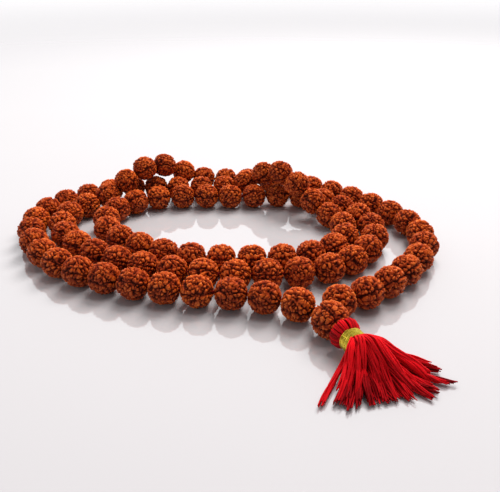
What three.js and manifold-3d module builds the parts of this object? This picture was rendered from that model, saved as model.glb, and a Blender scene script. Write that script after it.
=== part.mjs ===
// Mala prayer beads: 94 rudraksha seeds and one guru bead on a red cotton string,
// laid on a table in three turns, with a short red tassel bound in gold thread.
// Millimetres, +Z up. The table is z = 0 and the tassel points to the front, -Y.
import * as THREE from "three";
import { mergeVertices } from "three/addons/utils/BufferGeometryUtils.js";
import Module from "manifold-3d";

// ---- Beads ----
const BEAD_COUNT = 94;
const LOOSE_BEADS_EACH_SIDE = 23;
const RUN_LENGTH = 8;
const BEAD_RADIUS = 4.05;
const BEAD_BELT_HALF = 1.15;
const BEAD_SHOULDER_RADIUS = 2.6;
const BEAD_SHOULDER_X = 2.95;
const BEAD_HALF_LENGTH = 3.6;
const BEAD_BORE_RADIUS = 1.0;
const BEAD_SIDES = 8;
const NECK_RADIUS = 1.7;
const NECK_SINK = 0.4;

// ---- String ----
const PITCH = 8.2;
const STRING_RADIUS = 0.55;
const STRING_SIDES = 6;
const STRING_PAIR_OFFSET = 0.65;
const STRING_BEND_START = 0.4;
const ROW_GAP = 0.35;
const BEND_ROOM = 0.5;

// ---- Guru bead ----
const GURU_CENTRE = [26.3, -37.4];
const GURU_HEADING = -64;
const GURU_RADIUS = 4.2;
const GURU_BELT_HALF = 1.2;
const GURU_SHOULDER_RADIUS = 2.8;
const GURU_SHOULDER_X = 3.0;
const GURU_HALF_LENGTH = 3.75;
const GURU_BORE_RADIUS = 1.55;
const GURU_SIDES = 12;

// ---- Tassel, measured along its own axis from the guru bead's front mouth ----
const NECK_START = 0.1;
const TASSEL_NECK_RADIUS = 0.75;
const CORE_START = 0.85;
const CORE_RADIUS = 1.75;
const HEAD_START = 0.7;
const HEAD_LENGTH = 2.3;
const HEAD_RADIUS = 3.35;
const BAND_LENGTH = 2.3;
const BAND_RADIUS = 2.75;
const FIT_GAP = 0.3;
const SKIRT_LENGTH = 17;
const SKIRT_TURN = -3;
const SKIRT_TURN_OVER = 15;

// The joining necks reach from bead to bead and sink a little into both.
const NECK_HALF_LENGTH = PITCH / 2 - BEAD_HALF_LENGTH + NECK_SINK;

// Beads of neighbouring rows lie this far apart, centre to centre.
const ROW_SPACING = 2 * BEAD_RADIUS + ROW_GAP;

// The string runs straight through a bead as far as this from its centre.
const STRAIGHT_HALF = BEAD_HALF_LENGTH - STRING_BEND_START;

// Two knots of the string with one between them come no closer than this.
const LEAST_SPAN = 2 * PITCH - BEND_ROOM;

// A loose bead rests on one of its flats.
const REST_Z = BEAD_RADIUS * Math.cos(Math.PI / BEAD_SIDES);

// Brings the middle of the whole model's outline to the origin.
const TABLE_SHIFT = [-0.61, 2.791, 0];

// ---- Colours ----
const SEED_COLOUR = 0x8a3d1c;
const RED_THREAD_COLOUR = 0xb3101c;
const GOLD_COLOUR = 0xd9b73a;

// The way the string lies, from the guru bead clockwise: across, away, height.
// Outer front and left, under the crossing to the middle of the back,
// over to the inner ring, round it, out to the middle ring, round that,
// over the crossing to the far back, and home along the outer right.
const TABLE_WAY = [
  [19.9, -31.3, REST_Z], [12.4, -27.8, REST_Z], [4.3, -26.2, REST_Z],
  [-3.7, -25.1, REST_Z], [-11.7, -23.5, REST_Z], [-19.7, -21.6, REST_Z],
  [-28, -18.8, REST_Z], [-35.5, -15.4, REST_Z], [-42.3, -10.8, REST_Z],
  [-48.2, -5, REST_Z], [-53, 1.8, REST_Z], [-56.5, 9.5, REST_Z],
  [-58, 17.5, REST_Z], [-56.5, 25.5, REST_Z], [-52, 32.5, REST_Z],
  [-46, 37.8, REST_Z], [-39, 42.3, REST_Z], [-31.5, 45.3, REST_Z],
  [-24, 46, REST_Z], [-16, 45.6, REST_Z], [-8, 45.3, REST_Z], [0, 45.2, REST_Z],
  [8.6, 44.8, REST_Z], [15, 42, 8.5], [20.4, 36.6, 10], [25, 30.8, 7],
  [29.8, 25.6, REST_Z], [34.2, 20.6, REST_Z], [37.2, 14, REST_Z], [37.4, 7, REST_Z],
  [34.6, 0.2, REST_Z], [30, -4.8, REST_Z], [24, -7.8, REST_Z], [16.5, -8.9, REST_Z],
  [8.3, -9.2, REST_Z], [0, -8.8, REST_Z], [-8.2, -7.5, REST_Z],
  [-15.6, -4.9, REST_Z], [-22.4, -1, REST_Z], [-28.8, 3.8, REST_Z],
  [-34, 9.8, REST_Z], [-36, 17.4, REST_Z], [-34.4, 25.2, REST_Z],
  [-29.8, 31.4, REST_Z], [-23.4, 35.2, REST_Z], [-15.6, 36.6, REST_Z],
  [-7.3, 36.6, REST_Z], [0.9, 36.6, REST_Z], [9, 37, REST_Z], [17.5, 37.6, REST_Z],
  [25, 37, REST_Z], [31.5, 34, REST_Z], [37.4, 29, REST_Z], [41.8, 22.6, REST_Z],
  [44.8, 15.4, REST_Z], [45.6, 7.8, REST_Z], [43.6, 0, REST_Z], [39, -6.4, REST_Z],
  [32.4, -11.6, REST_Z], [24.5, -15, REST_Z], [16.3, -16.9, REST_Z],
  [8, -17.5, REST_Z], [-0.3, -17.2, REST_Z], [-8.5, -16.2, REST_Z],
  [-16.5, -14, REST_Z], [-24.3, -11, REST_Z], [-31.7, -6.8, REST_Z],
  [-38.8, -1.4, REST_Z], [-44.6, 5.2, REST_Z], [-48.6, 12.8, REST_Z],
  [-49.6, 20.5, REST_Z], [-46.8, 28, REST_Z], [-41.8, 33.8, REST_Z], [-36.5, 38, 6],
  [-31, 42.5, 9], [-25, 46.5, 10], [-18.5, 50.4, 8], [-11, 53.2, 4.5],
  [-3, 54.2, REST_Z], [5.3, 54, REST_Z], [13.5, 53, REST_Z], [21.5, 50.6, REST_Z],
  [29, 46.8, REST_Z], [35.8, 42, REST_Z], [42, 36.4, REST_Z], [47.8, 30, REST_Z],
  [53, 23, REST_Z], [56.8, 15.8, REST_Z], [58.7, 8, REST_Z], [58, 0, REST_Z],
  [54.4, -7.6, REST_Z], [49.3, -14.4, REST_Z], [43.4, -20.6, REST_Z],
  [36.5, -26, REST_Z], [29.3, -29.5, REST_Z],
];
const GURU_Z = GURU_RADIUS * Math.cos(Math.PI / GURU_SIDES);
const HEADING = (GURU_HEADING * Math.PI) / 180;
const AHEAD = [Math.cos(HEADING), Math.sin(HEADING)];

// A point beside the guru bead's axis: along it from the centre, and to its left.
function byGuru(along, left) {
  const x = GURU_CENTRE[0] + AHEAD[0] * along - AHEAD[1] * left;
  const y = GURU_CENTRE[1] + AHEAD[1] * along + AHEAD[0] * left;
  return [x, y, GURU_Z];
}

// The knots where the two ends of the string leave the first and the last bead.
const FIRST_KNOT = [23.5, -32.7, REST_Z];
const LAST_KNOT = [25.7, -31.2, REST_Z];
const STRING_WAY = [FIRST_KNOT, ...TABLE_WAY, LAST_KNOT];

// A point on the curve through four neighbouring points of the way.
function between(a, b, c, d, t) {
  const point = [0, 0, 0];
  for (let k = 0; k < 3; k += 1) {
    const slope = (c[k] - a[k]) * t;
    const bend = (2 * a[k] - 5 * b[k] + 4 * c[k] - d[k]) * t * t;
    const turn = (3 * b[k] - a[k] - 3 * c[k] + d[k]) * t * t * t;
    point[k] = b[k] + 0.5 * (slope + bend + turn);
  }
  return point;
}

function distance(a, b) {
  const x = a[0] - b[0];
  const y = a[1] - b[1];
  const z = a[2] - b[2];
  return Math.sqrt(x * x + y * y + z * z);
}

// The knots of the string: one in each gap, spaced evenly along the curve.
function spacedKnots(way, count) {
  const fine = [];
  for (let i = 0; i < way.length - 1; i += 1) {
    const a = way[Math.max(i - 1, 0)];
    const d = way[Math.min(i + 2, way.length - 1)];
    for (let s = 0; s < 20; s += 1) {
      fine.push(between(a, way[i], way[i + 1], d, s / 20));
    }
  }
  fine.push(way[way.length - 1].slice());
  const run = [0];
  for (let i = 1; i < fine.length; i += 1) {
    run.push(run[i - 1] + distance(fine[i - 1], fine[i]));
  }
  const total = run[run.length - 1];
  const knots = [];
  let at = 0;
  for (let n = 0; n <= count; n += 1) {
    const goal = (total * n) / count;
    while (at < run.length - 2 && run[at + 1] < goal) {
      at += 1;
    }
    const t = (goal - run[at]) / (run[at + 1] - run[at]);
    const p = fine[at];
    const q = fine[at + 1];
    knots.push([p[0] + (q[0] - p[0]) * t, p[1] + (q[1] - p[1]) * t, p[2] + (q[2] - p[2]) * t]);
  }
  return knots;
}

// Moves two knots along the line between them by a share of how far off they are.
function pull(knots, i, j, wanted, share) {
  const p = knots[i];
  const q = knots[j];
  const d = distance(p, q);
  const give = (share * (d - wanted)) / d;
  const last = knots.length - 1;
  for (let k = 0; k < 3; k += 1) {
    const step = (q[k] - p[k]) * give;
    if (i > 0) {
      p[k] += step;
    }
    if (j < last) {
      q[k] -= step;
    }
  }
}

// Two beads that press into each other slide apart, each with its own two knots.
function part(knots, i, j, wanted) {
  const a = knots[i];
  const b = knots[i + 1];
  const c = knots[j];
  const e = knots[j + 1];
  const x = (c[0] + e[0] - a[0] - b[0]) / 2;
  const y = (c[1] + e[1] - a[1] - b[1]) / 2;
  if (Math.abs(x) > wanted || Math.abs(y) > wanted) {
    return;
  }
  const z = (c[2] + e[2] - a[2] - b[2]) / 2;
  const d = Math.sqrt(x * x + y * y + z * z);
  if (d >= wanted) {
    return;
  }
  const give = (0.5 * (wanted - d)) / d;
  const move = [x * give, y * give, z * give];
  const last = knots.length - 1;
  for (let k = 0; k < 3; k += 1) {
    if (i > 0) {
      a[k] -= move[k];
    }
    b[k] -= move[k];
    c[k] += move[k];
    if (j + 1 < last) {
      e[k] += move[k];
    }
  }
}

// The string comes to rest: beads sink to the table or onto the beads below,
// keep their pitch, stay off other beads and don't bend sharply.
function settle(knots, count) {
  const rounds = 500;
  const home = knots.map((p) => p.slice());
  for (let n = 0; n < rounds; n += 1) {
    const late = n > 380;
    for (let i = 1; i < count; i += 1) {
      const p = knots[i];
      if (!late) {
        p[2] -= 0.06;
        p[0] += (home[i][0] - p[0]) * 0.02;
        p[1] += (home[i][1] - p[1]) * 0.02;
      }
    }
    for (let i = 0; i < count - 1; i += 1) {
      if (distance(knots[i], knots[i + 2]) < LEAST_SPAN) {
        pull(knots, i, i + 2, LEAST_SPAN, 0.5);
      }
    }
    for (let i = 0; i < count; i += 1) {
      for (let j = i + 2; j < count; j += 1) {
        part(knots, i, j, ROW_SPACING);
      }
    }
    for (let i = 0; i < count; i += 1) {
      pull(knots, i, i + 1, PITCH, 0.5);
    }
    for (let i = count - 1; i >= 0; i -= 1) {
      pull(knots, i, i + 1, PITCH, 0.5);
    }
    for (let i = 1; i < count; i += 1) {
      knots[i][2] = Math.max(knots[i][2], REST_Z);
    }
  }
  return knots;
}

const wasm = await Module();
wasm.setup();

// A closed geometry with its shared vertices merged, as a solid.
function asSolid(geometry) {
  const bare = geometry.clone();
  bare.deleteAttribute("normal");
  bare.deleteAttribute("uv");
  const merged = mergeVertices(bare, 1e-5);
  const solid = new wasm.Manifold(
    new wasm.Mesh({
      numProp: 3,
      vertProperties: new Float32Array(merged.attributes.position.array),
      triVerts: new Uint32Array(merged.index.array),
    }),
  );
  return solid;
}

function asGeometry(solid) {
  const mesh = solid.getMesh();
  const geometry = new THREE.BufferGeometry();
  const places = new THREE.BufferAttribute(new Float32Array(mesh.vertProperties), 3);
  geometry.setAttribute("position", places);
  geometry.setIndex(new THREE.BufferAttribute(new Uint32Array(mesh.triVerts), 1));
  return geometry;
}

// A turned shape about X from pairs of radius and distance along the axis,
// with one of its flats turned to face down.
function turned(profile, sides) {
  const points = profile.map(([radius, along]) => new THREE.Vector2(radius, along));
  const geometry = new THREE.LatheGeometry(points, sides);
  geometry.rotateY(-Math.PI / sides);
  geometry.rotateZ(-Math.PI / 2);
  return geometry;
}

// The placing that carries X onto a bead's axis and keeps its flat facing down.
function alongAxis(centre, axis) {
  const ahead = new THREE.Vector3(...axis).normalize();
  const up = new THREE.Vector3(0, 0, 1);
  up.addScaledVector(ahead, -up.dot(ahead)).normalize();
  const left = new THREE.Vector3().crossVectors(up, ahead);
  const matrix = new THREE.Matrix4().makeBasis(ahead, left, up);
  matrix.setPosition(...centre);
  return matrix;
}

function finish(colour, roughness, metalness) {
  return new THREE.MeshStandardMaterial({ color: colour, roughness, metalness });
}

const table = new THREE.Group();
table.position.set(...TABLE_SHIFT);

function place(name, geometry, material, parent = table) {
  const mesh = new THREE.Mesh(geometry, material);
  mesh.name = name;
  parent.add(mesh);
  return mesh;
}

// ---- The string's knots, settled ----
const knots = settle(spacedKnots(STRING_WAY, BEAD_COUNT), BEAD_COUNT);
const beadCentres = [];
const beadAxes = [];
for (let i = 0; i < BEAD_COUNT; i += 1) {
  const p = knots[i];
  const q = knots[i + 1];
  beadCentres.push([(p[0] + q[0]) / 2, (p[1] + q[1]) / 2, (p[2] + q[2]) / 2]);
  beadAxes.push([q[0] - p[0], q[1] - p[1], q[2] - p[2]]);
}

// A point on a bead's own axis, a distance from its centre.
function onAxis(i, along) {
  const axis = new THREE.Vector3(...beadAxes[i]).normalize();
  return new THREE.Vector3(...beadCentres[i]).addScaledVector(axis, along);
}

// The string: straight through each bead, bending in the gaps, with its two ends
// side by side through the guru bead.
function stringPoints() {
  const points = [];
  const ends = [GURU_HALF_LENGTH - 0.5, -GURU_HALF_LENGTH - 0.5];
  for (const along of ends) {
    points.push(new THREE.Vector3(...byGuru(along, -STRING_PAIR_OFFSET)));
  }
  for (let i = 0; i < BEAD_COUNT; i += 1) {
    points.push(onAxis(i, i === 0 ? -PITCH / 2 : -STRAIGHT_HALF));
    points.push(onAxis(i, i === BEAD_COUNT - 1 ? PITCH / 2 : STRAIGHT_HALF));
  }
  for (const along of ends.reverse()) {
    points.push(new THREE.Vector3(...byGuru(along, STRING_PAIR_OFFSET)));
  }
  return points;
}

function roundShape(radius, sides) {
  const shape = new THREE.Shape();
  for (let i = 0; i < sides; i += 1) {
    const angle = (2 * Math.PI * i) / sides;
    const x = radius * Math.cos(angle);
    const y = radius * Math.sin(angle);
    if (i === 0) {
      shape.moveTo(x, y);
    } else {
      shape.lineTo(x, y);
    }
  }
  shape.closePath();
  return shape;
}

// A path that is straight from each point to the next, sampled at the points.
class StraightPath extends THREE.Curve {
  constructor(points) {
    super();
    this.points = points;
  }

  getPoint(t, target = new THREE.Vector3()) {
    const last = this.points.length - 1;
    const at = Math.min(Math.floor(t * last + 1e-6), last - 1);
    return target.lerpVectors(this.points[at], this.points[at + 1], t * last - at);
  }

  getPointAt(u, target) {
    return this.getPoint(u, target);
  }

  getTangentAt(u, target = new THREE.Vector3()) {
    const last = this.points.length - 1;
    const at = Math.round(u * last);
    const before = new THREE.Vector3();
    const after = new THREE.Vector3();
    const here = this.points[at];
    before.subVectors(here, this.points[Math.max(at - 1, 0)]).normalize();
    after.subVectors(this.points[Math.min(at + 1, last)], here).normalize();
    return target.addVectors(before, after).normalize();
  }
}

function tube(points, radius, sides) {
  const path = new StraightPath(points);
  const settings = { steps: points.length - 1, bevelEnabled: false, extrudePath: path };
  return new THREE.ExtrudeGeometry(roundShape(radius, sides), settings);
}

const stringGeometry = tube(stringPoints(), STRING_RADIUS, STRING_SIDES);
place("stringing_thread", stringGeometry, finish(RED_THREAD_COLOUR, 0.9, 0));

// ---- Seeds ----
const BEAD_PROFILE = [
  [BEAD_BORE_RADIUS, -BEAD_HALF_LENGTH],
  [BEAD_SHOULDER_RADIUS, -BEAD_SHOULDER_X],
  [BEAD_RADIUS, -BEAD_BELT_HALF],
  [BEAD_RADIUS, BEAD_BELT_HALF],
  [BEAD_SHOULDER_RADIUS, BEAD_SHOULDER_X],
  [BEAD_BORE_RADIUS, BEAD_HALF_LENGTH],
];
const boredBead = turned([...BEAD_PROFILE, BEAD_PROFILE[0]], BEAD_SIDES);
const wholeBead = turned(
  [[0, -BEAD_HALF_LENGTH], ...BEAD_PROFILE, [0, BEAD_HALF_LENGTH]],
  BEAD_SIDES,
);
const neckPiece = turned(
  [
    [0, -NECK_HALF_LENGTH],
    [NECK_RADIUS, -NECK_HALF_LENGTH],
    [NECK_RADIUS, NECK_HALF_LENGTH],
    [0, NECK_HALF_LENGTH],
  ],
  BEAD_SIDES,
);

function beadName(number) {
  return `bead_${String(number).padStart(2, "0")}`;
}

function placeBead(i) {
  const geometry = boredBead.clone();
  const mesh = place(beadName(i + 1), geometry, finish(SEED_COLOUR, 0.6, 0));
  mesh.applyMatrix4(alongAxis(beadCentres[i], beadAxes[i]));
}

// A run of seeds joined by short necks, with one channel for the string.
function runOfBeads(first, last) {
  let body = asSolid(wholeBead.clone().applyMatrix4(alongAxis(beadCentres[first], beadAxes[first])));
  for (let i = first + 1; i <= last; i += 1) {
    const p = beadAxes[i - 1];
    const q = beadAxes[i];
    const middle = [p[0] + q[0], p[1] + q[1], p[2] + q[2]];
    const neck = asSolid(neckPiece.clone().applyMatrix4(alongAxis(knots[i], middle)));
    const bead = wholeBead.clone().applyMatrix4(alongAxis(beadCentres[i], beadAxes[i]));
    body = body.add(neck).add(asSolid(bead));
  }
  const way = [onAxis(first, -4.6)];
  for (let i = first; i <= last; i += 1) {
    way.push(onAxis(i, -3.2));
    way.push(onAxis(i, 3.2));
  }
  way.push(onAxis(last, 4.6));
  const channel = tube(way, BEAD_BORE_RADIUS, STRING_SIDES);
  return asGeometry(body.subtract(asSolid(channel)));
}

for (let i = 0; i < LOOSE_BEADS_EACH_SIDE; i += 1) {
  placeBead(i);
}
let runNumber = 1;
let firstOfRun = LOOSE_BEADS_EACH_SIDE;
while (firstOfRun < BEAD_COUNT - LOOSE_BEADS_EACH_SIDE) {
  const run = runOfBeads(firstOfRun, firstOfRun + RUN_LENGTH - 1);
  place(`bead_run_${runNumber}`, run, finish(SEED_COLOUR, 0.6, 0));
  runNumber += 1;
  firstOfRun += RUN_LENGTH;
}
for (let i = BEAD_COUNT - LOOSE_BEADS_EACH_SIDE; i < BEAD_COUNT; i += 1) {
  placeBead(i);
}

// ---- Guru bead ----
const guruGeometry = turned(
  [
    [GURU_BORE_RADIUS, -GURU_HALF_LENGTH],
    [GURU_SHOULDER_RADIUS, -GURU_SHOULDER_X],
    [GURU_RADIUS, -GURU_BELT_HALF],
    [GURU_RADIUS, GURU_BELT_HALF],
    [GURU_SHOULDER_RADIUS, GURU_SHOULDER_X],
    [GURU_BORE_RADIUS, GURU_HALF_LENGTH],
    [GURU_BORE_RADIUS, -GURU_HALF_LENGTH],
  ],
  GURU_SIDES,
);
const guru = place("guru_bead", guruGeometry, finish(SEED_COLOUR, 0.6, 0));
guru.applyMatrix4(alongAxis(byGuru(0, 0), [AHEAD[0], AHEAD[1], 0]));

// ---- Tassel: X runs out from the guru bead's front mouth ----
const tassel = new THREE.Group();
tassel.position.set(...byGuru(GURU_HALF_LENGTH, 0));
tassel.rotation.z = HEADING;
table.add(tassel);

const neckEnd = CORE_START - FIT_GAP;
const tasselNeck = turned(
  [
    [0, NECK_START],
    [TASSEL_NECK_RADIUS, NECK_START],
    [TASSEL_NECK_RADIUS, neckEnd],
    [0, neckEnd],
  ],
  12,
);
place("tassel_neck", tasselNeck, finish(RED_THREAD_COLOUR, 0.9, 0), tassel);

// A ring round the tassel's core, with rounded edges.
function ringRound(start, length, radius) {
  const inner = CORE_RADIUS + FIT_GAP;
  const middle = start + length / 2;
  const edge = 0.3 * (radius - inner);
  const profile = [
    [inner, start + 0.15],
    [inner + edge, start],
    [radius - edge, start + 0.2 * length],
    [radius, middle],
    [radius - edge, start + 0.8 * length],
    [inner + edge, start + length],
    [inner, start + length - 0.15],
    [inner, start + 0.15],
  ];
  return turned(profile, 18);
}

const head = ringRound(HEAD_START, HEAD_LENGTH, HEAD_RADIUS);
place("tassel_head", head, finish(RED_THREAD_COLOUR, 0.9, 0), tassel);
const bandStart = HEAD_START + HEAD_LENGTH + FIT_GAP;
const band = ringRound(bandStart, BAND_LENGTH, BAND_RADIUS);
place("gold_thread_band", band, finish(GOLD_COLOUR, 0.3, 1), tassel);

// The skirt: a round core inside the head and the band, then threads that fan out,
// stay full for most of their length and sink to the table. Each ring gives distance,
// half angle of the fan in degrees, half thickness, and its middle's height.
const bandEnd = bandStart + BAND_LENGTH;
const SKIRT_RINGS = [
  [bandEnd + 0.35, 19, 2.3, 3.9],
  [bandEnd + 2.2, 26, 2.9, 3.85],
  [bandEnd + 6, 34, 3.2, 3.65],
  [bandEnd + 10.5, 39, 2.8, 3.1],
  [bandEnd + 14.5, 41, 1.7, 1.9],
  [bandEnd + SKIRT_LENGTH, 41, 0.5, 0.65],
];
const SKIRT_SIDES = 24;

function skirtGeometry() {
  const profile = [[0, 0], [1, 0], [1, 1]];
  for (let i = 0; i < SKIRT_RINGS.length; i += 1) {
    profile.push([1, i + 2]);
  }
  profile.push([0, SKIRT_RINGS.length + 1]);
  const points = profile.map(([r, a]) => new THREE.Vector2(r, a));
  const geometry = new THREE.LatheGeometry(points, SKIRT_SIDES);
  const places = geometry.attributes.position;
  for (let i = 0; i < places.count; i += 1) {
    const ring = Math.round(places.getY(i));
    const left = places.getZ(i);
    const up = places.getX(i);
    if (ring < 2) {
      const x = ring === 0 ? CORE_START : bandEnd + 0.1;
      places.setXYZ(i, x, left * CORE_RADIUS, up * CORE_RADIUS);
    } else {
      const [far, half, thick, high] = SKIRT_RINGS[ring - 2];
      const sway = (SKIRT_TURN * (far - bandEnd)) / SKIRT_TURN_OVER;
      const turn = ((left * half + sway) * Math.PI) / 180;
      places.setXYZ(i, far * Math.cos(turn), far * Math.sin(turn), high - GURU_Z + up * thick);
    }
  }
  return geometry;
}

place("tassel_skirt", skirtGeometry(), finish(RED_THREAD_COLOUR, 0.9, 0), tassel);

export default table;
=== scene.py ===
# %% [markdown]
# # A mala: rudraksha seeds on a red string, with a tassel
# A mala is a closed string of seeds that a person counts prayers on. This one lies
# on a pale table in three loose turns. Its two ends pass through one larger bead,
# the guru bead, and end in a short red tassel bound with gold thread.
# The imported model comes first, because every piece made below moves with its bodies.

# %% The frame
import bpy, bmesh, math, random
import numpy as np
from mathutils import Matrix, Vector, noise


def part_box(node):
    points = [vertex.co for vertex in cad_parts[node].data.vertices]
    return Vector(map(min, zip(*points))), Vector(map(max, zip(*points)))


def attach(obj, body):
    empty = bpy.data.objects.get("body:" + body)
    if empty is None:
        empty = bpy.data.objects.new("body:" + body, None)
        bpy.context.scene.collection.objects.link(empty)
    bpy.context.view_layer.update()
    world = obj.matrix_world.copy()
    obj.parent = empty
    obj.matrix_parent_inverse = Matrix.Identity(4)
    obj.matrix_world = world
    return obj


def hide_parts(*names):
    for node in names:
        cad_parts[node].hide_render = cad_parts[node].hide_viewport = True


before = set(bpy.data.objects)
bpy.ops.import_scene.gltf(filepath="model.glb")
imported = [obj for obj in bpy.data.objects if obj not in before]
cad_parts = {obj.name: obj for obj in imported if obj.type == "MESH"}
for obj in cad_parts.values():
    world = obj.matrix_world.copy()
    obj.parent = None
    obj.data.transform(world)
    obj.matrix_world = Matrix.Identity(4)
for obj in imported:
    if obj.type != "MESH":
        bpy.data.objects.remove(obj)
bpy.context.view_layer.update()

# %% [markdown]
# ## Sizes
# The same sizes as the solids have, in millimetres. A helper turns them into
# metres, because everything in Blender here is in metres.

# %% Sizes
MM = 0.001
SEED_COUNT = 94
LOOSE_EACH_SIDE = 23
RUN_LENGTH = 8
SEED_RADIUS = 4.05
SEED_REST_Z = SEED_RADIUS * math.cos(math.pi / 8)
PITCH = 8.2
ROW_SPACING = 8.45
LEAST_SPAN = 15.9
GURU_CENTRE = (26.3, -37.4)
GURU_RADIUS = 4.2
GURU_Z = GURU_RADIUS * math.cos(math.pi / 12)
GURU_HALF_LENGTH = 3.75
HEADING = math.radians(-64)
PAIR_OFFSET = 0.65
TABLE_SHIFT = (-0.61, 2.791, 0.0)


def metres(point):
    """A place on the table plan, in millimetres, as a place in the frame, in metres."""
    return Vector((point[k] + TABLE_SHIFT[k]) * MM for k in range(3))


# %% [markdown]
# ## How the string lies
# The string starts at the guru bead and goes clockwise. The list is its way on the
# table: across, away and height. It runs along the front, up the left side, under a
# crossing to the middle of the back, and then round the inner, middle and outer turns.

# %% The way of the string
FLOOR = SEED_REST_Z
WAY = [
    (23.5, -32.7), (19.9, -31.3), (12.4, -27.8), (4.3, -26.2), (-3.7, -25.1),
    (-11.7, -23.5), (-19.7, -21.6), (-28, -18.8), (-35.5, -15.4), (-42.3, -10.8),
    (-48.2, -5), (-53, 1.8), (-56.5, 9.5), (-58, 17.5), (-56.5, 25.5),
    (-52, 32.5), (-46, 37.8), (-39, 42.3), (-31.5, 45.3), (-24, 46),
    (-16, 45.6), (-8, 45.3), (0, 45.2), (8.6, 44.8), (15, 42, 8.5),
    (20.4, 36.6, 10), (25, 30.8, 7), (29.8, 25.6), (34.2, 20.6), (37.2, 14),
    (37.4, 7), (34.6, 0.2), (30, -4.8), (24, -7.8), (16.5, -8.9), (8.3, -9.2),
    (0, -8.8), (-8.2, -7.5), (-15.6, -4.9), (-22.4, -1), (-28.8, 3.8),
    (-34, 9.8), (-36, 17.4), (-34.4, 25.2), (-29.8, 31.4), (-23.4, 35.2), (-15.6, 36.6),
    (-7.3, 36.6), (0.9, 36.6), (9, 37), (17.5, 37.6), (25, 37),
    (31.5, 34), (37.4, 29), (41.8, 22.6), (44.8, 15.4), (45.6, 7.8),
    (43.6, 0), (39, -6.4), (32.4, -11.6), (24.5, -15), (16.3, -16.9),
    (8, -17.5), (-0.3, -17.2), (-8.5, -16.2), (-16.5, -14), (-24.3, -11),
    (-31.7, -6.8), (-38.8, -1.4), (-44.6, 5.2), (-48.6, 12.8), (-49.6, 20.5),
    (-46.8, 28), (-41.8, 33.8), (-36.5, 38, 6), (-31, 42.5, 9), (-25, 46.5, 10),
    (-18.5, 50.4, 8), (-11, 53.2, 4.5), (-3, 54.2), (5.3, 54), (13.5, 53),
    (21.5, 50.6), (29, 46.8), (35.8, 42), (42, 36.4), (47.8, 30),
    (53, 23), (56.8, 15.8), (58.7, 8), (58, 0), (54.4, -7.6),
    (49.3, -14.4), (43.4, -20.6), (36.5, -26), (29.3, -29.5), (25.7, -31.2),
]
way = [list(map(float, p)) + ([FLOOR] if len(p) == 2 else []) for p in WAY]
print("points on the way", len(way))


# %% [markdown]
# ## Knots, one in each gap
# A smooth curve runs through the points. The seeds sit on it at an even pitch, so the
# curve is measured in short steps and a knot is set down in each gap between seeds.

# %% Knots along the curve
STEPS_PER_SPAN = 20


def on_curve(a, b, c, d, t):
    place = [0.0, 0.0, 0.0]
    for k in range(3):
        slope = (c[k] - a[k]) * t
        bend = (2 * a[k] - 5 * b[k] + 4 * c[k] - d[k]) * t * t
        turn = (3 * b[k] - a[k] - 3 * c[k] + d[k]) * t * t * t
        place[k] = b[k] + 0.5 * (slope + bend + turn)
    return place


def distance(a, b):
    x, y, z = a[0] - b[0], a[1] - b[1], a[2] - b[2]
    return math.sqrt(x * x + y * y + z * z)


def spaced_knots(way, count):
    fine = []
    for i in range(len(way) - 1):
        a, d = way[max(i - 1, 0)], way[min(i + 2, len(way) - 1)]
        for s in range(STEPS_PER_SPAN):
            fine.append(on_curve(a, way[i], way[i + 1], d, s / STEPS_PER_SPAN))
    fine.append(list(way[-1]))
    run = [0.0]
    for i in range(1, len(fine)):
        run.append(run[-1] + distance(fine[i - 1], fine[i]))
    knots, at = [], 0
    for n in range(count + 1):
        goal = (run[-1] * n) / count
        while at < len(run) - 2 and run[at + 1] < goal:
            at += 1
        t = (goal - run[at]) / (run[at + 1] - run[at])
        p, q = fine[at], fine[at + 1]
        knots.append([p[k] + (q[k] - p[k]) * t for k in range(3)])
    return knots


knots = spaced_knots(way, SEED_COUNT)
print("knots", len(knots), "first gap mm", round(distance(knots[0], knots[1]), 2))


# %% [markdown]
# ## The string comes to rest
# A drawn line lets seeds run into each other where turns cross. A small settling loop
# puts that right, as a real string does: seeds sink, keep their pitch, push each other
# aside and don't let the string bend sharply. It is the same loop that laid the solids.

# %% Settling
SETTLING_ROUNDS = 500
LAST_SINKING_ROUND = 380
SINK_EACH_ROUND = 0.06
HOMING_SHARE = 0.02


def pull(knots, i, j, wanted, share):
    p, q = knots[i], knots[j]
    d = distance(p, q)
    give = (share * (d - wanted)) / d
    for k in range(3):
        step = (q[k] - p[k]) * give
        if i > 0:
            p[k] += step
        if j < len(knots) - 1:
            q[k] -= step


def part(knots, i, j, wanted):
    a, b, c, e = knots[i], knots[i + 1], knots[j], knots[j + 1]
    x = (c[0] + e[0] - a[0] - b[0]) / 2
    y = (c[1] + e[1] - a[1] - b[1]) / 2
    if abs(x) > wanted or abs(y) > wanted:
        return
    z = (c[2] + e[2] - a[2] - b[2]) / 2
    d = math.sqrt(x * x + y * y + z * z)
    if d >= wanted:
        return
    give = (0.5 * (wanted - d)) / d
    for k, gap in enumerate((x, y, z)):
        move = gap * give
        if i > 0:
            a[k] -= move
        b[k] -= move
        c[k] += move
        if j + 1 < len(knots) - 1:
            e[k] += move


def close_pairs(knots, reach):
    """Pairs of seeds near enough to touch in this round, in order."""
    ends = np.array(knots)
    middle = (ends[:-1] + ends[1:]) / 2
    apart = np.abs(middle[:, None, :2] - middle[None, :, :2]).max(axis=2)
    first, second = np.nonzero(np.triu(apart < reach, 2))
    return list(zip(first.tolist(), second.tolist()))


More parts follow.
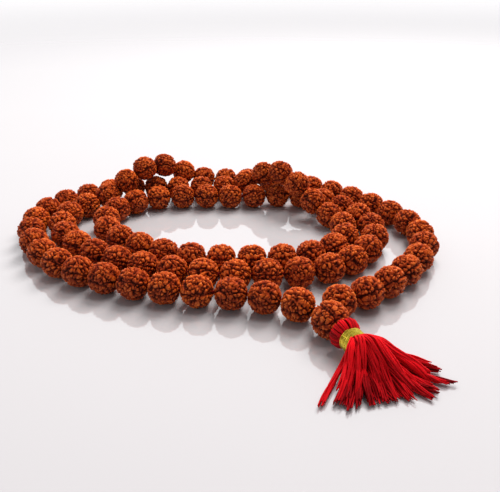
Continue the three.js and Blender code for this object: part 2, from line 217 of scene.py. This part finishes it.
def settle(knots, count):
    home = [list(p) for p in knots]
    for n in range(SETTLING_ROUNDS):
        if n <= LAST_SINKING_ROUND:
            for i in range(1, count):
                p = knots[i]
                p[2] -= SINK_EACH_ROUND
                p[0] += (home[i][0] - p[0]) * HOMING_SHARE
                p[1] += (home[i][1] - p[1]) * HOMING_SHARE
        for i in range(count - 1):
            if distance(knots[i], knots[i + 2]) < LEAST_SPAN:
                pull(knots, i, i + 2, LEAST_SPAN, 0.5)
        for i, j in close_pairs(knots, ROW_SPACING + 2):
            part(knots, i, j, ROW_SPACING)
        for i in range(count):
            pull(knots, i, i + 1, PITCH, 0.5)
        for i in range(count - 1, -1, -1):
            pull(knots, i, i + 1, PITCH, 0.5)
        for i in range(1, count):
            knots[i][2] = max(knots[i][2], FLOOR)
    return knots


settle(knots, SEED_COUNT)
seed_centres = [metres([(p[k] + q[k]) / 2 for k in range(3)]) for p, q in zip(knots, knots[1:])]
seed_axes = [(metres(q) - metres(p)).normalized() for p, q in zip(knots, knots[1:])]


# %% [markdown]
# ## A check against the solids
# Seeds must sit exactly where the CAD says. The loose seeds are nodes of their own,
# so the middle of each node's box shows how well the two lays agree.

# %% Check the lay
def node_middle(name):
    low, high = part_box(name)
    return (low + high) / 2


def seed_name(number):
    return f"bead_{number:02d}"


loose = list(range(LOOSE_EACH_SIDE)) + list(range(SEED_COUNT - LOOSE_EACH_SIDE, SEED_COUNT))
off = max((seed_centres[i] - node_middle(seed_name(i + 1))).length for i in loose)
print("furthest seed from its solid, mm", round(off * 1000, 4))

# %% [markdown]
# ## The camera
# The camera stands a hand's width in front of the mala, a little above the table, and
# looks down at a bit less than a third of a right angle. It is near, so the front seeds
# look clearly bigger than the back ones.

# %% Camera
CAMERA_PLACE = (8.8, -131.0, 69.8)
CAMERA_TILT = 63.0
SENSOR_WIDTH = 36.0
LENS_SHARE = 520 / 500

camera = bpy.data.objects.new("camera", bpy.data.cameras.new("camera"))
bpy.context.scene.collection.objects.link(camera)
camera.location = metres(CAMERA_PLACE)
camera.rotation_euler = (math.radians(CAMERA_TILT), 0.0, 0.0)
camera.data.sensor_width = SENSOR_WIDTH
camera.data.lens = SENSOR_WIDTH * LENS_SHARE
camera.data.clip_start = 0.005
bpy.context.scene.camera = camera
print("lens", round(camera.data.lens, 1), "height mm", round(camera.location.z * 1000, 1))


# %% [markdown]
# ## Shader sums in plain Python
# A shader is a graph of small nodes. This class wraps one output of a node, so that a
# sum such as `1 - mask * 0.5` adds the Math nodes by itself.

# %% Shader helper
class Value:
    def __init__(self, tree, socket):
        self.tree, self.socket = tree, socket

    def math(self, operation, *others):
        node = self.tree.nodes.new("ShaderNodeMath")
        node.operation = operation
        for place, item in zip(node.inputs, others):
            give(self.tree, place, item)
        return Value(self.tree, node.outputs[0])

    def __add__(self, other):
        return self.math("ADD", self, other)

    def __sub__(self, other):
        return self.math("SUBTRACT", self, other)

    def __rsub__(self, other):
        return self.math("SUBTRACT", other, self)

    def __mul__(self, other):
        return self.math("MULTIPLY", self, other)

    __radd__, __rmul__ = __add__, __mul__


def give(tree, place, item):
    if isinstance(item, Value):
        tree.links.new(item.socket, place)
    else:
        place.default_value = item


class Graph:
    """A graph of nodes, and the way to add any node to it."""

    def __init__(self, tree):
        self.tree = tree

    def node(self, kind, settings=None, output=0, numbered=None, **sockets):
        node = self.tree.nodes.new("ShaderNode" + kind)
        for key, setting in (settings or {}).items():
            if key == "stops":
                ramp = node.color_ramp
                while len(ramp.elements) < len(setting):
                    ramp.elements.new(0.5)
                for stop, (where, colour) in zip(ramp.elements, setting):
                    stop.position, stop.color = where, (*colour, 1.0)
            else:
                setattr(node, key, setting)
        for place, item in (numbered or {}).items():
            give(self.tree, node.inputs[place], item)
        for key, item in sockets.items():
            give(self.tree, node.inputs[key.replace("_", " ")], item)
        return Value(self.tree, node.outputs[output])


class Finish(Graph):
    """One material of the mala, or of the table."""

    def __init__(self, name):
        self.material = bpy.data.materials.new(name)
        self.material.use_nodes = True
        super().__init__(self.material.node_tree)
        self.shader = self.tree.nodes["Principled BSDF"]

    def set(self, **sockets):
        for key, item in sockets.items():
            give(self.tree, self.shader.inputs[key.replace("_", " ")], item)

    def places(self):
        return self.node("TexCoord", output="Object")

    def attribute(self, name):
        return self.node("Attribute", {"attribute_name": name}, output="Fac")


# %% [markdown]
# ## The look of a rudraksha seed
# A seed is the stone of a small fruit. Its ridges are worn to a warm orange brown and
# its hollows stay a dark red brown. The height of the surface is kept on the mesh as
# `relief`, from 0 in a hollow to 1 on a ridge, and a second number, `tone`, makes each
# seed a little lighter or darker than the next, as on any real string.

# %% Seed finish
SEED_COLOURS = [
    (0.0, (0.030, 0.002, 0.0005)),
    (0.28, (0.110, 0.009, 0.001)),
    (0.54, (0.340, 0.037, 0.003)),
    (0.80, (0.600, 0.088, 0.007)),
    (1.0, (0.860, 0.190, 0.024)),
]
SEED_SHADES = [(0.0, (0.74, 0.62, 0.55)), (1.0, (1.0, 1.0, 1.0))]
WEAR_SPREAD = 0.36
DULLEST = 0.98
POLISH = 0.62


def seed_finish():
    look = Finish("rudraksha_seed")
    relief, tone = look.attribute("relief"), look.attribute("tone")
    places = look.places()
    mottle = look.node("TexNoise", Vector=places, Scale=900.0, Detail=4.0, Roughness=0.6)
    grain = look.node("TexNoise", Vector=places, Scale=5200.0, Detail=3.0, Roughness=0.65)
    level = relief + (mottle - 0.5) * WEAR_SPREAD
    colour = look.node("ValToRGB", {"stops": SEED_COLOURS}, Fac=level)
    shade = look.node("ValToRGB", {"stops": SEED_SHADES}, Fac=tone)
    shaded = look.node(
        "Mix", {"data_type": "RGBA", "blend_type": "MULTIPLY"}, output=2,
        numbered={0: 1.0, 6: colour, 7: shade},
    )
    look.set(Base_Color=shaded, Roughness=DULLEST - level * POLISH)
    bump = look.node("Bump", Strength=0.35, Distance=0.00012, Height=grain)
    look.set(Normal=bump)
    look.shader.inputs["Specular IOR Level"].default_value = 0.26
    return look.material


seed_material = seed_finish()
print("made", seed_material.name)


# %% [markdown]
# ## The shape of a seed
# The seed starts as a ball with its poles on the string's axis. Each point is then
# moved in or out: five furrows run from pole to pole, and between them the skin is
# crowded with small knobs that join into winding ridges. Knobs come from cell noise,
# where the gap between the nearest and the second nearest cell makes the creases. The
# noise gets a fixed seed first. It would start from the clock otherwise, and the knobs
# would be different ones on every run.

# %% Seed shape
NOISE_SEED = 11
FURROWS = 5
FURROW_WIDTH = 0.09
FURROW_DEPTH = 0.12
KNOB_DENSITY = 3.5
CREASE_WIDTH = 0.30
HOLE_DEPTH = 1.3

noise.seed_set(NOISE_SEED)


def smooth_step(low, high, value):
    t = min(max((value - low) / (high - low), 0.0), 1.0)
    return t * t * (3 - 2 * t)


def seed_relief(direction, number, lobes):
    """How high the skin stands here, 0 to 1, for one kind of seed."""
    offset = Vector((number * 7.3, number * 3.1, number * 5.7))
    sway = noise.noise_vector(direction * 2.3 + offset)
    angle = math.atan2(direction.y, direction.x) + 0.16 * sway.x
    along = direction.z
    lobe = angle * lobes / (2 * math.pi) + number * 0.37
    beside = abs(lobe - round(lobe)) * 2 * math.pi / lobes
    ring = math.sqrt(max(1 - along * along, 0.0))
    furrow = 1 - smooth_step(0.0, FURROW_WIDTH, beside * max(ring, 0.15))
    warped = direction * KNOB_DENSITY + offset + noise.noise_vector(direction * 3.1 + offset) * 0.55
    near = noise.voronoi(warped)[0]
    crease = smooth_step(0.0, CREASE_WIDTH, near[1] - near[0])
    joined = smooth_step(-0.1, 0.3, noise.noise(direction * 5.0 + offset * 1.7))
    fine = noise.voronoi(warped * 2.2 + offset)[0]
    pits = smooth_step(0.0, CREASE_WIDTH, fine[1] - fine[0])
    height = (0.55 * joined + (1 - 0.55 * joined) * crease) * (0.78 + 0.22 * pits)
    height *= 1 - 0.7 * furrow
    return height, furrow, ring


def make_seed(number, across=4.15, half_length=4.08, depth=0.74, segments=112, rings=64):
    """A seed of one kind, in metres, with its axis along Z."""
    bm = bmesh.new()
    bmesh.ops.create_uvsphere(bm, u_segments=segments, v_segments=rings, radius=1.0)
    relief = bm.verts.layers.float.new("relief")
    for vert in bm.verts:
        direction = vert.co.normalized()
        height, furrow, ring = seed_relief(direction, number, FURROWS)
        swell = 1 + 0.012 * noise.noise(direction * 1.4 + Vector((number, 0, 0)))
        inward = depth * (1 - height) + FURROW_DEPTH * furrow
        hole = HOLE_DEPTH * (1 - smooth_step(0.10, 0.22, ring))
        full = 1 + 0.07 * smooth_step(0.25, 0.6, ring) * (1 - smooth_step(0.75, 0.98, ring))
        wide = across * full * swell - inward
        long = half_length * swell - inward * (0.2 + 0.8 * ring) - hole
        vert.co = Vector((direction.x * wide, direction.y * wide, direction.z * long)) * MM
        vert[relief] = height
    mesh = bpy.data.meshes.new(f"seed_kind_{number}")
    bm.to_mesh(mesh)
    bm.free()
    mesh.shade_smooth()
    return mesh


SEED_KINDS = 8
kinds = [make_seed(n) for n in range(1, SEED_KINDS + 1)]
print("seed kinds", len(kinds), "faces each", len(kinds[0].polygons))


# %% [markdown]
# ## Seeds on the string
# Each seed takes one kind, turned by its own angle about the string, so that no two
# neighbours match. The place goes into the mesh and the object stays at the origin.

# %% String the seeds
def turn_to(axis):
    """A turn that carries Z onto the axis."""
    return Vector((0, 0, 1)).rotation_difference(axis).to_matrix().to_4x4()


def string_seed(name, kind, centre, axis, spin, size, tone, body, node):
    mesh = kind.copy()
    mesh.transform(
        Matrix.Translation(centre) @ turn_to(axis) @ Matrix.Rotation(spin, 4, "Z")
        @ Matrix.Scale(size, 4)
    )
    tones = mesh.attributes.new("tone", "FLOAT", "POINT")
    tones.data.foreach_set("value", np.full(len(mesh.vertices), tone, np.float32))
    mesh.materials.append(seed_material)
    piece = bpy.data.objects.new(name, mesh)
    bpy.context.scene.collection.objects.link(piece)
    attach(piece, body)
    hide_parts(node)
    return piece


def run_of(i):
    return f"bead_run_{(i - LOOSE_EACH_SIDE) // RUN_LENGTH + 1}"


chance = random.Random(11)
for i in range(SEED_COUNT):
    node = seed_name(i + 1) if i in loose else run_of(i)
    body = f"{node}_body" if i in loose else "string"
    string_seed(
        f"seed_{i + 1:02d}", kinds[chance.randrange(SEED_KINDS)], seed_centres[i], seed_axes[i],
        chance.uniform(0, 2 * math.pi), chance.uniform(0.985, 1.0), chance.random(), body, node,
    )
print("seeds strung", SEED_COUNT)

# %% [markdown]
# ## The guru bead
# The guru bead is a seed too, a size larger. Counting stops and turns there.

# %% Guru bead
ahead = Vector((math.cos(HEADING), math.sin(HEADING), 0.0))
guru_middle = metres((*GURU_CENTRE, GURU_Z))
guru_kind = make_seed(23, across=4.35, half_length=3.95, depth=0.76, segments=128, rings=72)
guru = string_seed("guru_seed", guru_kind, guru_middle, ahead, 0.6, 1.0, 0.3, "guru", "guru_bead")
print("guru bead across mm", round(guru.dimensions.z * 1000, 1))


# %% [markdown]
# ## Thread colours
# The tassel's thread is a bright red cotton and the string's a darker one. Light catches
# single fibres, so the colour runs from bright to dark in fine streaks along each strand.
# Each strand carries a number of its own, `tone`, from dark to bright. In the skirt this number
# also holds painted shade and painted light.

# %% Red thread finish
def thread_finish(name, dark, bright, roughness):
    look = Finish(name)
    tone = look.attribute("tone")
    places = look.places()
    streak = look.node("TexNoise", Vector=places, Scale=2600.0, Detail=3.0, Roughness=0.6)
    # In the skirt, tone holds painted shade and painted light as well as each thread's own tone.
    level = tone * 0.65 + streak * 0.35
    colour = look.node("ValToRGB", {"stops": [(0.1, dark), (0.9, bright)]}, Fac=level)
    look.set(Base_Color=colour, Roughness=roughness - streak * 0.15)
    fibre = look.node("TexNoise", Vector=places, Scale=9000.0, Detail=2.0)
    look.set(Normal=look.node("Bump", Strength=0.4, Distance=0.00008, Height=fibre))
    look.shader.inputs["Specular IOR Level"].default_value = 0.14
    return look.material


tassel_material = thread_finish(
    "tassel_red_thread", dark=(0.15, 0.0005, 0.002), bright=(0.84, 0.006, 0.012), roughness=0.66,
)
string_material = thread_finish(
    "string_red_cotton", dark=(0.05, 0.002, 0.002), bright=(0.16, 0.006, 0.005), roughness=0.85,
)
print("made", tassel_material.name, "and", string_material.name)


# %% [markdown]
# ## Strands
# Every thread here is a curve with a round section, made solid by the curve's own
# bevel and then turned into a mesh. Many strands share one curve object, which keeps
# the file light. All strands of one bundle have as many points as each other, so the
# mesh's points can be counted off strand by strand to give each its tone.

# %% Strand maker
def strands(name, lines, radius, material, tones, sides=1, taper=None):
    """One mesh of many round strands. lines is a list of lists of places in metres."""
    curve = bpy.data.curves.new(name, "CURVE")
    curve.dimensions, curve.bevel_depth, curve.bevel_resolution = "3D", 1.0, sides
    curve.use_fill_caps = True
    for line, size in zip(lines, radius):
        spline = curve.splines.new("POLY")
        spline.points.add(len(line) - 1)
        for n, (point, place) in enumerate(zip(spline.points, line)):
            point.co = (*place, 1.0)
            point.radius = size * (taper(n / (len(line) - 1)) if taper else 1.0)
    made = bpy.data.objects.new(name + "_curve", curve)
    bpy.context.scene.collection.objects.link(made)
    graph = bpy.context.evaluated_depsgraph_get()
    mesh = bpy.data.meshes.new_from_object(made.evaluated_get(graph))
    bpy.data.objects.remove(made)
    mesh.name = name
    share = len(mesh.vertices) // len(lines)
    values = np.repeat(np.array(tones, np.float32), share)
    mesh.attributes.new("tone", "FLOAT", "POINT").data.foreach_set("value", values)
    mesh.materials.clear()
    mesh.materials.append(material)
    mesh.shade_smooth()
    piece = bpy.data.objects.new(name, mesh)
    bpy.context.scene.collection.objects.link(piece)
    print(name, "strands", len(lines), "faces", len(mesh.polygons))
    return piece


# %% [markdown]
# ## The stringing thread
# The string is a twisted cotton cord of three plies. It runs straight through each
# seed, shows in the gaps, and its two ends go side by side through the guru bead.
# Each ply winds round the cord's middle line, like a stripe on a barber's pole.

# %% Stringing thread
PLIES = 3
PLY_OFFSET = 0.27
PLY_RADIUS = 0.29
PLY_TWIST = 2.4
STRAIGHT_IN_SEED = 3.2


def by_guru(along, left):
    x = GURU_CENTRE[0] + math.cos(HEADING) * along - math.sin(HEADING) * left
    y = GURU_CENTRE[1] + math.sin(HEADING) * along + math.cos(HEADING) * left
    return metres((x, y, GURU_Z))


def string_line():
    ends = (GURU_HALF_LENGTH - 0.5, -GURU_HALF_LENGTH - 0.5)
    line = [by_guru(along, -PAIR_OFFSET) for along in ends]
    for i in range(SEED_COUNT):
        first = PITCH / 2 if i == 0 else STRAIGHT_IN_SEED
        last = PITCH / 2 if i == SEED_COUNT - 1 else STRAIGHT_IN_SEED
        line.append(seed_centres[i] - seed_axes[i] * first * MM)
        line.append(seed_centres[i] + seed_axes[i] * last * MM)
    return line + [by_guru(along, PAIR_OFFSET) for along in reversed(ends)]


def even_steps(line, step):
    """The same way, walked in equal steps."""
    run = np.concatenate([[0], np.cumsum([(q - p).length for p, q in zip(line, line[1:])])])
    goals = np.linspace(0, run[-1], int(run[-1] / step) + 1)
    flat = np.array([list(p) for p in line])
    return np.stack([np.interp(goals, run, flat[:, k]) for k in range(3)], axis=1), goals


def plies(line, count, offset, twist, step):
    """Lines of the plies that wind round a way, in metres."""
    middle, goals = even_steps(line, step)
    ahead = np.gradient(middle, axis=0)
    ahead /= np.linalg.norm(ahead, axis=1)[:, None]
    side = np.cross(ahead, [0, 0, 1.0])
    side /= np.linalg.norm(side, axis=1)[:, None]
    up = np.cross(side, ahead)
    lines = []
    for n in range(count):
        turn = goals / twist * 2 * math.pi + n * 2 * math.pi / count
        lines.append(middle + offset * (np.cos(turn)[:, None] * side + np.sin(turn)[:, None] * up))
    return lines


string_plies = plies(string_line(), PLIES, PLY_OFFSET * MM, PLY_TWIST * MM, 0.3 * MM)
ply_radii = [PLY_RADIUS * MM] * PLIES
cord = strands("string_cord", string_plies, ply_radii, string_material, [0.35, 0.6, 0.8])
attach(cord, "string")
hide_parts("stringing_thread")

# %% [markdown]
# ## The tassel's own directions
# The tassel is worked out as if it lay along X from the guru bead's front mouth, with Y
# to its left and Z up. One matrix then carries it to its place.

# %% Tassel frame
tassel_place = Matrix.Translation(by_guru(GURU_HALF_LENGTH, 0)) @ Matrix.Rotation(HEADING, 4, "Z")


def tassel_point(x, y, z):
    return tassel_place @ (Vector((x, y, z)) * MM)


print("tassel root mm", [round(v * 1000, 1) for v in tassel_place.translation])

# %% [markdown]
# ## The neck
# The string's two ends show for a moment between the guru bead and the tassel's head.
# They are wound together there, so they are made as one cord that is a little thicker.

# %% Neck
NECK_PLY_OFFSET = 0.36
NECK_PLY_RADIUS = 0.4
NECK_TWIST = 1.8

neck_line = [tassel_point(x, 0, 0) for x in (0.1, 0.35, 0.6)]
neck_plies = plies(neck_line, PLIES, NECK_PLY_OFFSET * MM, NECK_TWIST * MM, 0.05 * MM)
neck_radii = [NECK_PLY_RADIUS * MM] * PLIES
neck = strands("neck_cord", neck_plies, neck_radii, string_material, [0.4, 0.6, 0.7])
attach(neck, "tassel_link")
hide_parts("tassel_neck")

# %% [markdown]
# ## The head
# The tassel's threads come out of the knot, fold back over themselves and are tied
# down, so its head is a fat ring of threads that all run from the middle outwards.
# Each is one strand on the same swelling outline, set side by side round the ring. The
# outline lists how far along the tassel and how far from its middle a thread runs.

# %% Head
HEAD_OUTLINE = [
    (1.2, 0.5), (0.84, 1.1), (0.72, 1.9), (0.72, 2.6), (0.9, 3.12), (1.3, 3.34),
    (1.85, 3.3), (2.4, 3.12), (2.9, 2.8), (3.25, 2.45), (3.5, 2.1), (4.5, 1.95), (5.4, 1.95),
]
HEAD_THREADS = 64
HEAD_THREAD_RADIUS = 0.19

head_lines, head_tones = [], []
for n in range(HEAD_THREADS):
    angle = 2 * math.pi * n / HEAD_THREADS + chance.uniform(-0.04, 0.04)
    lean = chance.uniform(-0.12, 0.12)
    puff = chance.uniform(-0.16, 0.08)
    line = []
    for k, (x, r) in enumerate(HEAD_OUTLINE):
        t = k / (len(HEAD_OUTLINE) - 1)
        turn = angle + lean * t
        swell = r + puff * math.sin(math.pi * min(t * 1.6, 1.0))
        along = x - puff * 0.5 * (1 - t)
        line.append(tassel_point(along, math.cos(turn) * swell, math.sin(turn) * swell))
    head_lines.append(line)
    head_tones.append(chance.uniform(0.1, 1.0))
head_radii = [HEAD_THREAD_RADIUS * MM] * HEAD_THREADS
head = strands("tassel_head_threads", head_lines, head_radii, tassel_material, head_tones)
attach(head, "tassel")
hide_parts("tassel_head")

# %% [markdown]
# ## The gold band
# Gold thread is a strip of metal foil spun round a core. It is wound tightly round the
# neck of the tassel in a few turns that don't lie quite evenly.

# %% Gold finish
GOLD_COLOURS = [(0.25, (0.60, 0.42, 0.015)), (0.75, (1.0, 0.88, 0.13))]


def gold_finish():
    look = Finish("gold_thread")
    places = look.places()
    crinkle = look.node("TexNoise", Vector=places, Scale=2200.0, Detail=3.0, Roughness=0.6)
    colour = look.node("ValToRGB", {"stops": GOLD_COLOURS}, Fac=crinkle)
    look.set(Base_Color=colour, Roughness=0.12 + crinkle * 0.14)
    look.shader.inputs["Metallic"].default_value = 1.0
    look.set(Normal=look.node("Bump", Strength=0.5, Distance=0.0001, Height=crinkle))
    return look.material


gold_material = gold_finish()
print("made", gold_material.name)

# %% [markdown]
# The thread's way is a spiral with a small wander. Two layers lie on each other, and the
# outer one starts a little further along, so its turns rest near the inner one's grooves.

# %% Gold band
BAND_START, BAND_END = 3.35, 6.0
GOLD_TURNS = 8
GOLD_RADIUS = 0.17
STEPS_PER_TURN = 32


def gold_spiral(first, turns, radius, wander):
    """A spiral round the tassel's axis from first towards the skirt."""
    spacing = (BAND_END - BAND_START) / (GOLD_TURNS + 1)
    line = []
    for n in range(turns * STEPS_PER_TURN + 1):
        turn = n / STEPS_PER_TURN
        angle = turn * 2 * math.pi + wander
        x = first + spacing * turn + 0.035 * math.sin(angle * 0.37 + wander * 5)
        r = radius + 0.03 * math.sin(angle * 0.61 + wander * 3)
        line.append(tassel_point(x, math.cos(angle) * r, math.sin(angle) * r))
    return line


gold_lines = [
    gold_spiral(BAND_START + 0.1, GOLD_TURNS, radius=2.28, wander=0.4),
    gold_spiral(BAND_START + 0.24, GOLD_TURNS, radius=2.54, wander=1.9),
]
gold_radii = [GOLD_RADIUS * MM] * len(gold_lines)
band = strands("gold_band_threads", gold_lines, gold_radii, gold_material, [0.5, 0.8], sides=2)
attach(band, "tassel")
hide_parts("gold_thread_band")

# %% [markdown]
# ## The skirt
# Below the band the threads hang free. On the table they spread into a fan, stay full
# for most of their length and droop at the ends. Cotton threads cling together, so the
# skirt is built lock by lock: each lock has one way of its own, and its threads lie
# round that way with a slow twist. Locks differ in length, which makes the ragged edge.
# SIDES runs from the left, -1, to the right, 1, and REACHES says how far the locks there
# reach from the tassel's root.

# %% Skirt shape
SKIRT_START = 5.3
SKIRT_STEPS = 18
TOP_LIFT = 1.3
TIP_HEIGHT = 0.32
LOWEST = 0.28
SIDES = [-1, -0.75, -0.3, 0.1, 0.4, 0.79, 0.89, 1]
REACHES = [19.4, 19.6, 19.0, 20.3, 22.6, 24.3, 22.4, 17.4]


def lock_reach(side):
    """How far a lock reaches from the tassel's root, by its place from side to side."""
    return float(np.interp(side, SIDES, REACHES))


def lock_way(side, level, reach, fan, bow, wave):
    """Places along one lock. side is -1 to 1 across, and level -1 to 1 from the table up."""
    start = (SKIRT_START, 1.75 * side * math.sqrt(1 - 0.45 * level * level), 1.8 * level)
    tip = (reach * math.cos(fan), reach * math.sin(fan))
    share = 0.5 + 0.5 * level
    edge = math.sqrt(max(1 - 0.6 * side * side, 0.1))
    root = GURU_Z + start[2]
    line = []
    for k in range(SKIRT_STEPS):
        t = k / (SKIRT_STEPS - 1)
        x = start[0] + (tip[0] - start[0]) * t
        y = start[1] + (tip[1] - start[1]) * t ** 1.3
        y += bow * math.sin(math.pi * t) + 0.45 * t * math.sin(5.0 * t + wave)
        droop = 0.22 * smooth_step(0.3, 0.75, t) + 0.72 * smooth_step(0.66, 1.04, t)
        high = root + TOP_LIFT * math.sin(math.pi * min(t / 0.7, 1.0)) * edge
        high -= root * droop
        high -= (high - TIP_HEIGHT) * 0.38 * side * side * smooth_step(0.1, 0.7, t)
        low = TIP_HEIGHT + (root - TIP_HEIGHT) * (1 - smooth_step(0.0, 0.35, t))
        z = low + (high - low) * share + 0.3 * t * math.sin(6 * t + wave * 2)
        line.append((x, y, max(z, TIP_HEIGHT) - GURU_Z))
    return line


def lock_threads(way, count, girth, jitter):
    """The threads of one lock, laid round its way with a slow twist."""
    lines = []
    for n in range(count):
        angle = jitter.uniform(0, 2 * math.pi)
        out = girth * math.sqrt(jitter.uniform(0.05, 1.0))
        twist = jitter.uniform(1.0, 4.0)
        cut = jitter.uniform(0.88, 1.0)
        curl = jitter.uniform(0.0, 0.28)
        line = []
        for k in range(SKIRT_STEPS):
            t = cut * k / (SKIRT_STEPS - 1)
            at = t * (SKIRT_STEPS - 1)
            i = min(int(at), SKIRT_STEPS - 2)
            x, y, z = (way[i][m] + (way[i + 1][m] - way[i][m]) * (at - i) for m in range(3))
            loose = 0.35 + 0.65 * smooth_step(0.0, 0.4, t) - 0.35 * smooth_step(0.7, 1.0, t)
            turn = angle + twist * t
            y += math.cos(turn) * out * loose + curl * t * math.sin(9 * t + angle)
            z += math.sin(turn) * out * loose * 0.8 + curl * t * math.cos(8 * t + angle)
            line.append(tassel_point(x, y, max(z, LOWEST - GURU_Z)))
        lines.append(line)
    return lines


# %% [markdown]
# The locks are dealt out from left to right, in four layers from the table up. The upper
# layers are shorter and painted brighter, as painted light on the top of the skirt, and the
# lower layers are painted darker, as painted shade beneath them. Two thin locks have strayed
# to the left, as they do on a tassel that has been handled. A layer has its level, its number
# of locks, the threads in each, how much shorter it is and how bright it is painted. A stray
# lock has its reach, its turn to the side and its bow.

# %% Skirt
# The last number of each layer is painted light and shade: low for the lower layers, as painted
# shade, and high for the lit top layers, as painted light.
LAYERS = [
    (-0.85, 12, 15, 0.0, 0.0),
    (-0.1, 12, 15, 0.4, 0.06),
    (0.5, 11, 14, 3.0, 0.60),
    (0.95, 9, 14, 5.4, 0.88),
]
STRAYS = [(19.8, -45, -1.5), (19.6, -43, -1.0)]
STRAY_THREADS = 9
LOCK_GIRTH = 0.85
STRAY_GIRTH = 0.45

skirt_lines, skirt_tones_and_painted_shade = [], []
for level, locks, threads, short, bright in LAYERS:
    for n in range(locks):
        side = -1 + 2 * (n + 0.5 + chance.uniform(-0.25, 0.25)) / locks
        fan = math.radians(-1.0 + 39 * side + 5 * max(side, 0) ** 2 + chance.uniform(-1.5, 1.5))
        reach = lock_reach(side) + chance.uniform(-1.0, 0.4) - short * (1 - 0.5 * side * side)
        height = level + chance.uniform(-0.1, 0.1)
        bow = chance.uniform(-0.3, 0.3)
        wave = chance.uniform(0, 6.28)
        lock = lock_way(side, height, reach, fan, bow, wave)
        skirt_lines += lock_threads(lock, threads, LOCK_GIRTH, chance)
        # Painted light and shade: the layer's painted brightness, plus painted light on locks
        # towards the right, plus a random tone for each lock.
        shade = bright + 0.4 * max(side, 0) * (1 - bright) + chance.uniform(-0.1, 0.15)
        for _ in range(threads):
            skirt_tones_and_painted_shade.append(min(max(shade + chance.uniform(-0.25, 0.25), 0.0), 1.0))
for reach, turn, bow in STRAYS:
    lock = lock_way(-1.0, -0.3, reach, math.radians(turn), bow, 0.5)
    skirt_lines += lock_threads(lock, STRAY_THREADS, STRAY_GIRTH, chance)
    skirt_tones_and_painted_shade += [0.55] * STRAY_THREADS
skirt_radii = [chance.uniform(0.14, 0.19) * MM for _ in skirt_lines]
skirt = strands(
    "tassel_skirt_threads", skirt_lines, skirt_radii, tassel_material, skirt_tones_and_painted_shade,
    taper=lambda t: 1.0 - 0.3 * smooth_step(0.9, 1.0, t),
)
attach(skirt, "tassel")
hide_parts("tassel_skirt")

# %% [markdown]
# ## The table
# The table is a pale, polished sheet, so it mirrors the seeds and is darker beneath
# them. It lies a hair below zero, where the knobs of the seeds touch down.

# %% Table
TABLE_COLOUR = (0.535, 0.516, 0.527, 1.0)
TABLE_DROP = 0.34
TABLE_HALF_WIDTH = 3.0


def table_finish():
    look = Finish("pale_table")
    look.set(Base_Color=TABLE_COLOUR, Roughness=0.03)
    look.shader.inputs["IOR"].default_value = 2.6
    return look.material


bm = bmesh.new()
bmesh.ops.create_grid(bm, x_segments=1, y_segments=1, size=TABLE_HALF_WIDTH)
table_mesh = bpy.data.meshes.new("table")
bm.to_mesh(table_mesh)
bm.free()
table_mesh.materials.append(table_finish())
table = bpy.data.objects.new("table", table_mesh)
table.location.z = -TABLE_DROP * MM
bpy.context.scene.collection.objects.link(table)
print("table ready")

# %% [markdown]
# ## Light
# The room is white. It is brightest low at the back, and dimmer overhead and towards
# the front, so the front faces stay deep and the tops catch the light. A broad lamp, the
# window, stands high behind the coil, a weaker one hangs overhead, and a small card
# fills in the front. The window and the overhead lamp are left out of mirror
# reflections, because their square shapes would show in the polished table.

# %% Room light
ROOM_DARKEST = 0.22
ROOM_BRIGHTEST = 1.16
ROOM_TINT = 0.985


def room_grey(shade):
    return (shade, shade * ROOM_TINT, shade)


world = bpy.data.worlds.new("room")
bpy.context.scene.world = world
world.use_nodes = True
room = Graph(world.node_tree)
facing = room.node("TexCoord", output="Generated")
back = room.node("SeparateXYZ", output="Y", Vector=facing)
height = room.node("SeparateXYZ", output="Z", Vector=facing)
glow = room.node(
    "ValToRGB",
    {"stops": [(0.0, room_grey(ROOM_DARKEST)), (1.0, room_grey(ROOM_BRIGHTEST))]},
    Fac=back * 0.75 - height * 0.35 + 0.5,
)
background = room.tree.nodes["Background"]
give(room.tree, background.inputs["Color"], glow)
background.inputs["Strength"].default_value = 1.0
bpy.context.scene.view_settings.view_transform = "Standard"
print("room ready")


# %% [markdown]
# Every lamp is a square sheet that faces the middle of the coil. Its place and size are
# in metres and its power in watts.

# %% Lamps
def soft_lamp(name, place, size, power, colour, mirrored):
    lamp = bpy.data.lights.new(name, "AREA")
    lamp.size, lamp.energy, lamp.color = size, power, colour
    made = bpy.data.objects.new(name, lamp)
    made.location = Vector(place)
    made.rotation_mode = "QUATERNION"
    made.rotation_quaternion = (-Vector(place)).to_track_quat("-Z", "Y")
    made.visible_glossy = mirrored
    bpy.context.scene.collection.objects.link(made)


soft_lamp("window", (0.20, 0.40, 0.58), 0.36, 6.2, (1.0, 0.98, 0.96), mirrored=False)
soft_lamp("overhead", (0.12, 0.02, 0.55), 0.2, 1.0, (1.0, 0.99, 0.98), mirrored=False)
soft_lamp("front card", (-0.26, -0.34, 0.22), 0.12, 0.16, (1.0, 1.0, 1.0), mirrored=True)
print("lamps ready")
